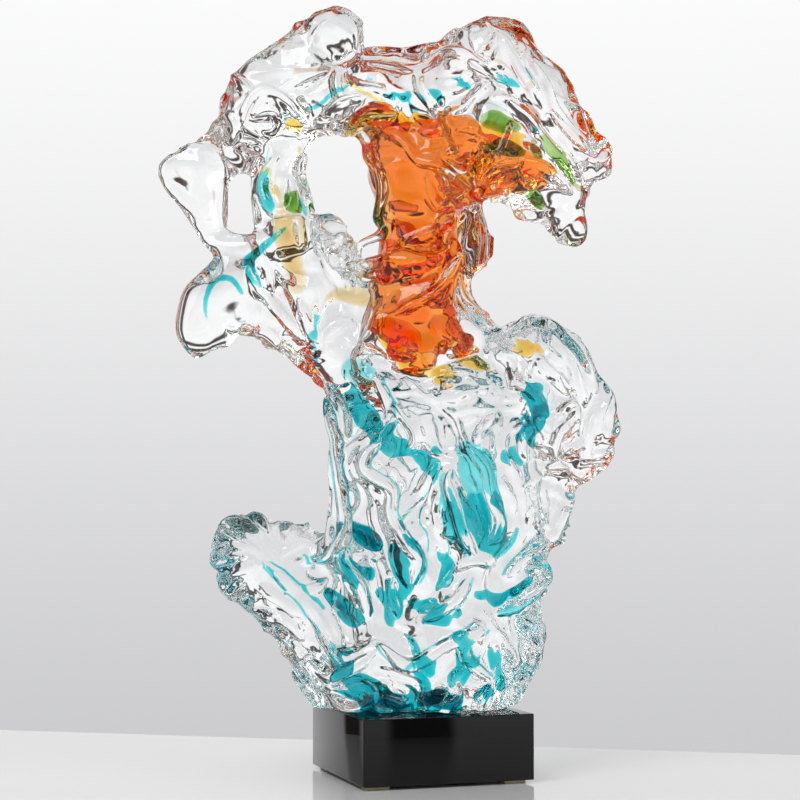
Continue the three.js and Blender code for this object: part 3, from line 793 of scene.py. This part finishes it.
# The neck's body is orange glass, drawn out from the crest down into the trunk, with an arm into the
# canopy. It was pinched with a tool while it was soft, which left its facets.
orange = coloured_glass("orange glass", 92, (1.0, 0.62, 0.0, 1), 1.1)
veil("neck_orange_body", orange, [
    ([(-46, 458, 8), (-28, 446, 17), (-10, 424, 22), (0, 400, 25), (3, 374, 28), (-2, 350, 29),
      (-3, 320, 31), (2, 300, 30), (8, 288, 24)], 44, 6, 12),
    ([(-6, 440, 18), (24, 442, 20), (48, 430, 20), (76, 422, 15), (98, 414, 8)], 40, 6, 10),
    ([(30, 400, 12), (44, 408, 14), (60, 412, 12)], 26, 8),
    ([(-24, 300, 9), (-20, 284, 8), (-12, 274, 4)], 30, 8, 8),
    ([(4, 290, 10), (4, 274, 8), (10, 264, 4)], 30, 8, 8),
    ([(24, 296, 9), (30, 282, 8), (36, 272, 5)], 30, 8, 8),
], "orange_core", facets=16)

# Red knots lie over the orange where two gathers of colour met. They are short twists of a redder rod,
# folded in while the neck was turned.
red = coloured_glass("red glass", 150, (0.8, 0.25, 0.0, 1), 1.12)
veil("neck_red_knots", red, [
    ([(4, 398, 4), (14, 390, 6), (26, 388, 5), (36, 396, 3)], 12, 18, 7, True),
    ([(-20, 382, 3), (-12, 374, 5), (-4, 366, 3)], 12, 16, 5, True),
    ([(10, 378, 3), (16, 362, 5), (10, 350, 3)], 12, 16, 5, True),
    ([(-16, 336, 3), (-2, 330, 5), (12, 334, 4)], 12, 16, 6, True),
    ([(12, 318, 3), (24, 306, 6), (28, 294, 6), (34, 284, 4)], 14, 12, 7, True),
    ([(-20, 312, 3), (-10, 306, 4)], 10, 14, 5, True),
    ([(30, 292, 3), (36, 286, 5)], 18, 8, 5),
    ([(-24, 398, 2), (-14, 390, 3), (-4, 388, 2)], 10, 10, 4),
    ([(16, 408, 2), (24, 402, 3), (30, 396, 2)], 10, 10, 4),
    ([(-6, 356, 2), (4, 352, 3), (14, 346, 2)], 10, 10, 4),
    ([(0, 326, 2), (8, 320, 3), (14, 312, 2)], 10, 10, 4),
], ripple=0.004, facets=10, grain=0.0014)

# Amber veils are thin tails of the orange gather. They were drawn out to the shoulder, the crest, the
# horn and the left arc, and grew pale on the way.
amber = coloured_glass("amber glass", 230, (0.998, 0.77, 0.0, 1), 1.04)
veil("neck_amber_veils", amber, [
    ([(-34, 300, 6), (-20, 290, 13), (-8, 280, 12)], 26, 2, 12, True),
    ([(-18, 276, 6), (-8, 268, 10), (4, 260, 6)], 16, 6, 9, True),
    ([(8, 262, 6), (18, 256, 9), (28, 254, 6)], 16, 6, 9, True),
    ([(28, 270, 5), (40, 265, 7), (50, 262, 5)], 14, 6, 7, True),
    ([(72, 284, 3), (84, 279, 6), (96, 274, 4)], 10, 6, 5, True),
    ([(-34, 358, 3), (-24, 360, 6), (-12, 358, 3)], 24, 1),
    ([(-58, 450, 4), (-42, 460, 7), (-24, 458, 9), (-12, 450, 7)], 22, 4, 7),
    ([(-6, 462, 5), (4, 456, 8), (12, 446, 6)], 22, 4, 6),
    ([(48, 452, 5), (60, 446, 10), (74, 436, 8)], 14, 8, 7),
    ([(-105, 456, 4), (-99, 456, 5.5), (-94, 455, 4)], 10, 5),
    ([(-124, 428, 1.5), (-120, 416, 2.5), (-114, 400, 2.5), (-106, 388, 1.5)], 10, 4),
    ([(-96, 440, 1.5), (-94, 426, 2.5), (-90, 410, 2)], 10, 4),
    ([(-64, 494, 2), (-52, 486, 3), (-40, 476, 3), (-28, 470, 2)], 10, 5),
    ([(-84, 444, 1.5), (-62, 458, 2), (-40, 466, 1.5)], 8, 5),
], "amber_core")

# Two tan veils lie in the left arc and in the sill of the hole. A soft yellow-brown rod was laid on
# there, before the clear glass closed over it.
tan = coloured_glass("tan glass", 110, (0.88, 0.66, 0.1, 1))
veil("arc_tan_veil", tan, [
    ([(-108, 392, 5), (-103, 368, 10), (-99, 344, 10), (-92, 326, 7)], 16, 6, 10, True),
    ([(-78, 318, 4), (-62, 322, 8), (-44, 320, 9), (-34, 314, 5)], 12, 8, 8, True),
], "amber_arc_core")

# Green veils sit in the canopy's right side, beside the hole and in the left arc. Each is a drop of green
# glass, pressed flat between two clear gathers.
green = coloured_glass("green glass", 420, (0.4, 0.7, 0.0, 1), 1.04)
veil("canopy_green_veils", green, [
    ([(50, 456, 5), (60, 456, 8), (72, 450, 6)], 7, 8),
    ([(52, 434, 5), (64, 434, 9), (78, 430, 7)], 7, 8),
    ([(84, 438, 3), (90, 434, 5), (92, 426, 4)], 7, 6),
    ([(94, 446, 2), (104, 432, 3), (116, 414, 3), (122, 402, 2)], 8, 6),
    ([(64, 408, 2), (76, 414, 3), (88, 410, 2)], 8, 5),
    ([(84, 402, 4), (92, 398, 6), (96, 390, 4)], 8, 8),
    ([(-28, 398, 2.5), (-30, 376, 4), (-36, 354, 5)], 22, 5),
    ([(-103, 400, 3), (-101, 392, 5), (-99, 382, 3)], 12, 4),
], "green_core")

# Teal knots and strands lie in the canopy's crest. Rods of the deeper teal were wound once round it,
# before the last clear gather.
veil("crest_teal_knots", deep_teal_and_thread_shade, [
    ([(-94, 466, 2), (-84, 471, 2.5), (-66, 481, 2.5), (-56, 487, 2)], 4, 10),
    ([(-28, 478, 3), (-16, 476, 6), (-6, 480, 5)], 4, 12),
    ([(-8, 472, 3), (-4, 466, 3)], 4, 12),
    ([(4, 482, 4), (12, 480, 5), (18, 472, 3)], 4, 12),
    ([(22, 490, 2), (32, 488, 4), (40, 482, 3)], 4, 12),
    ([(58, 494, 2), (70, 490, 4), (80, 484, 3)], 4, 12),
    ([(46, 470, 1.6), (64, 466, 1.6), (86, 454, 1.6), (98, 444, 1.6)], 4, 8),
    ([(-50, 486, 2), (-40, 490, 2), (-30, 486, 2)], 4, 8),
], "teal_crest_core", ripple=0.002, grain=0.0012)

# Teal veils run down the left arc and round the curled lip, and one rises beside the hole. They are
# strands of the deeper teal, stretched as the arc was bent.
veil("arc_teal_veils", deep_teal_and_thread_shade, [
    ([(-118, 438, 1.5), (-122, 420, 2), (-122, 402, 3), (-118, 390, 3), (-110, 378, 2)], 4, 6),
    ([(-104, 372, 2), (-114, 362, 3), (-126, 354, 4), (-134, 348, 5), (-130, 336, 4), (-126, 326, 2)], 5, 5),
    ([(-167, 302, 1.5), (-166, 318, 2.5), (-160, 330, 3), (-148, 333, 3), (-139, 322, 2.5)], 5, 5),
    ([(-78, 262, 2), (-84, 292, 2.5), (-80, 306, 2)], 4, 8),
    ([(-112, 448, 1.2), (-108, 458, 1.6), (-100, 464, 1.6), (-92, 462, 1.2)], 4, 6),
    ([(-98, 400, 2), (-94, 390, 3), (-92, 380, 2)], 4, 6),
], "teal_arc_core", ripple=0.001, grain=0.0011)

# Thin brown streaks follow the rims of the horn, the crest and the canopy. They are painted shade: the dark
# brownish outlines that the rims show of the room around them, laid into the glass as thin brown glass.
rim_shade_glass = coloured_glass("painted rim shade glass", 600, (0.78, 0.58, 0.46, 1))
veil("painted_rim_shade_streaks", rim_shade_glass, [
    ([(-163, 410, 1.2), (-162, 400, 1.6), (-162, 388, 1.2)], 5, 4),
    ([(-157, 414, 1.2), (-153, 396, 1.6), (-155, 372, 1.4)], 5, 4),
    ([(-194, 424, 1), (-188, 414, 1.6), (-182, 404, 1.2)], 4, 4),
    ([(-152, 470, 1.5), (-144, 474, 2.5), (-136, 482, 1.5)], 5, 6),
    ([(-14, 514, 1.5), (-8, 516, 2.5), (0, 514, 1.5)], 5, 6),
    ([(14, 512, 2), (22, 510, 3), (30, 506, 2)], 5, 6),
    ([(84, 470, 2), (90, 464, 3.5), (94, 456, 2)], 5, 6),
    ([(-182, 330, 1.5), (-174, 337, 2), (-164, 342, 1.5)], 5, 5),
    ([(-100, 496, 1.5), (-82, 498, 2), (-66, 500, 1.5)], 5, 6),
    ([(-150, 468, 1), (-142, 486, 1.4), (-128, 500, 1)], 5, 3),
    ([(-136, 456, 1), (-120, 462, 1.4), (-104, 448, 1)], 4, 3),
    ([(20, 500, 1.2), (52, 492, 1.8), (82, 468, 1.4), (98, 446, 1)], 5, 4),
    ([(44, 512, 1.2), (70, 498, 1.6), (94, 474, 1.2)], 5, 4),
    ([(-40, 504, 1.2), (-10, 500, 1.8), (20, 506, 1.2)], 5, 4),
    ([(-36, 430, 1), (-30, 412, 1.6), (-32, 392, 1)], 5, 3),
    ([(-60, 352, 1.2), (-54, 340, 1.8), (-46, 334, 1.2)], 5, 3),
], ripple=0.001, grain=0.001)


# A film of clear resin holds the stone's foot on the plinth. It was brushed on thinly, and the stone was
# set down in it before it cured.
def clear_resin():
    material = bpy.data.materials.new("clear resin")
    shader = Shader(material)
    ripple = shader.noise(shader.place(), scale=150, detail=2)
    shader.surface(
        Base_Color=(0.9, 0.93, 0.93, 1),
        Roughness=0.05 + ripple * 0.05,
        IOR=1.5,
        Transmission_Weight=1.0,
    )
    return material


film = frame["nodes"]["bond_film"]
film.data.materials.clear()
film.data.materials.append(clear_resin())

# The table is a pale glossy top under the ornament, and no part of it. Its far edge runs away to the left
# behind the stone.
table_size = 4
table_turn = math.radians(-32.4)
edge_beyond_axis = 0.192
table_colour = (0.86, 0.86, 0.87, 1)
towards_edge = Matrix.Rotation(table_turn, 3, "Z")
table_middle = plinth_axis + towards_edge @ Vector((0, edge_beyond_axis - table_size / 2, 0))
bpy.ops.object.select_all(action="DESELECT")
bpy.ops.mesh.primitive_plane_add(size=table_size, location=table_middle, rotation=(0, 0, table_turn))
table = bpy.context.object
table.name = "table"
bpy.ops.object.transform_apply(location=True, rotation=True, scale=True)
table_finish = bpy.data.materials.new("pale gloss top")
Shader(table_finish).surface(Base_Color=table_colour, Roughness=0.1, IOR=1.45)
table.data.materials.append(table_finish)

# The studio is a pale room. Black flags at its sides and two dark rings above give the glass its dark
# outlines, two soft boxes give it bright ones, and the camera itself sees the plain wall.
wall_low = (0.58, 0.58, 0.595, 1)
wall_high = (0.99, 0.99, 0.995, 1)
flag_black = (0.06, 0.044, 0.038, 1)
soft_box_white = (1.6, 1.6, 1.62, 1)
wall_lift = 0.45
flag_edge = 3
ring_edge = 0.05
dark_rings = [(0.43, 0.48), (0.62, 0.78)]
world = bpy.data.worlds.new("studio")
bpy.context.scene.world = world
room = Shader(world)
direction = room.value(room.node("TexCoord"), "Generated")
parts = room.node("SeparateXYZ", None, Vector=direction)
x, y, z = (room.value(parts, n) for n in range(3))
angle = x.maths("ARCTAN2", x, y)


def flag(centre, half_width, softness):
    """1 where the direction is within half_width of an angle from +Y towards +X, in degrees."""
    apart = angle.maths("COSINE", angle - math.radians(centre))
    outer = math.cos(math.radians(half_width + softness))
    inner = math.cos(math.radians(half_width))
    return room.smooth_step(apart, outer, inner)


def band(start, end, softness):
    """1 where the direction's height lies between start and end."""
    return room.smooth_step(z, start - softness, start) * (1 - room.smooth_step(z, end, end + softness))


# Each flag is its middle and half its width in degrees; the wide one is the dark side of the room, behind
# the camera. Straight above, the flags fade.
flags = [(-27, 3), (-67, 6), (49, 4), (68, 5), (104, 6), (166, 5), (214, 20)]
dark = flag(*flags[0], flag_edge)
for centre, half_width in flags[1:]:
    dark = dark.maths("MAXIMUM", dark, flag(centre, half_width, flag_edge))
for start, end in dark_rings:
    dark = dark.maths("MAXIMUM", dark, band(start, end, ring_edge))
dark = dark * (1 - 0.8 * room.smooth_step(z, 0.85, 0.95))
backdrop = room.mix(room.smooth_step(z, -0.2, 0.32), wall_low, wall_high)
studio = room.mix(dark, room.mix(wall_lift, backdrop, wall_high), flag_black)
soft_boxes = (flag(-118, 9, 4) + flag(132, 7, 4)) * band(0.05, 0.45, 0.1)
studio = room.mix(soft_boxes.clamped(), studio, soft_box_white)
seen = room.value(room.node("LightPath"), "Is Camera Ray")
background = room.node("Background", None, Color=room.mix(seen, studio, backdrop), Strength=1.0)
room.tree.links.new(background.outputs[0], room.node("OutputWorld").inputs["Surface"])

# One weak soft lamp hangs in front of the ornament, above it and to its left, and points at its middle
lamp_place = plinth_axis + Vector((-0.9, -0.7, 1.5))
lamp_aim = plinth_axis + Vector((0, 0, 0.3))
lamp_width = 0.8
lamp_watts = 12
bpy.ops.object.light_add(type="AREA", location=lamp_place)
lamp = bpy.context.object
lamp.name = "soft_lamp"
lamp.data.size = lamp_width
lamp.data.energy = lamp_watts
lamp.rotation_euler = (lamp_aim - lamp.location).to_track_quat("-Z", "Y").to_euler()

# Light passes many walls of glass before it is given up
glass_bounces = 28
scene = bpy.context.scene
scene.view_settings.view_transform = "Standard"
scene.cycles.max_bounces = glass_bounces
scene.cycles.transmission_bounces = glass_bounces
scene.cycles.glossy_bounces = 8
scene.cycles.transparent_max_bounces = 16
scene.cycles.volume_bounces = 0
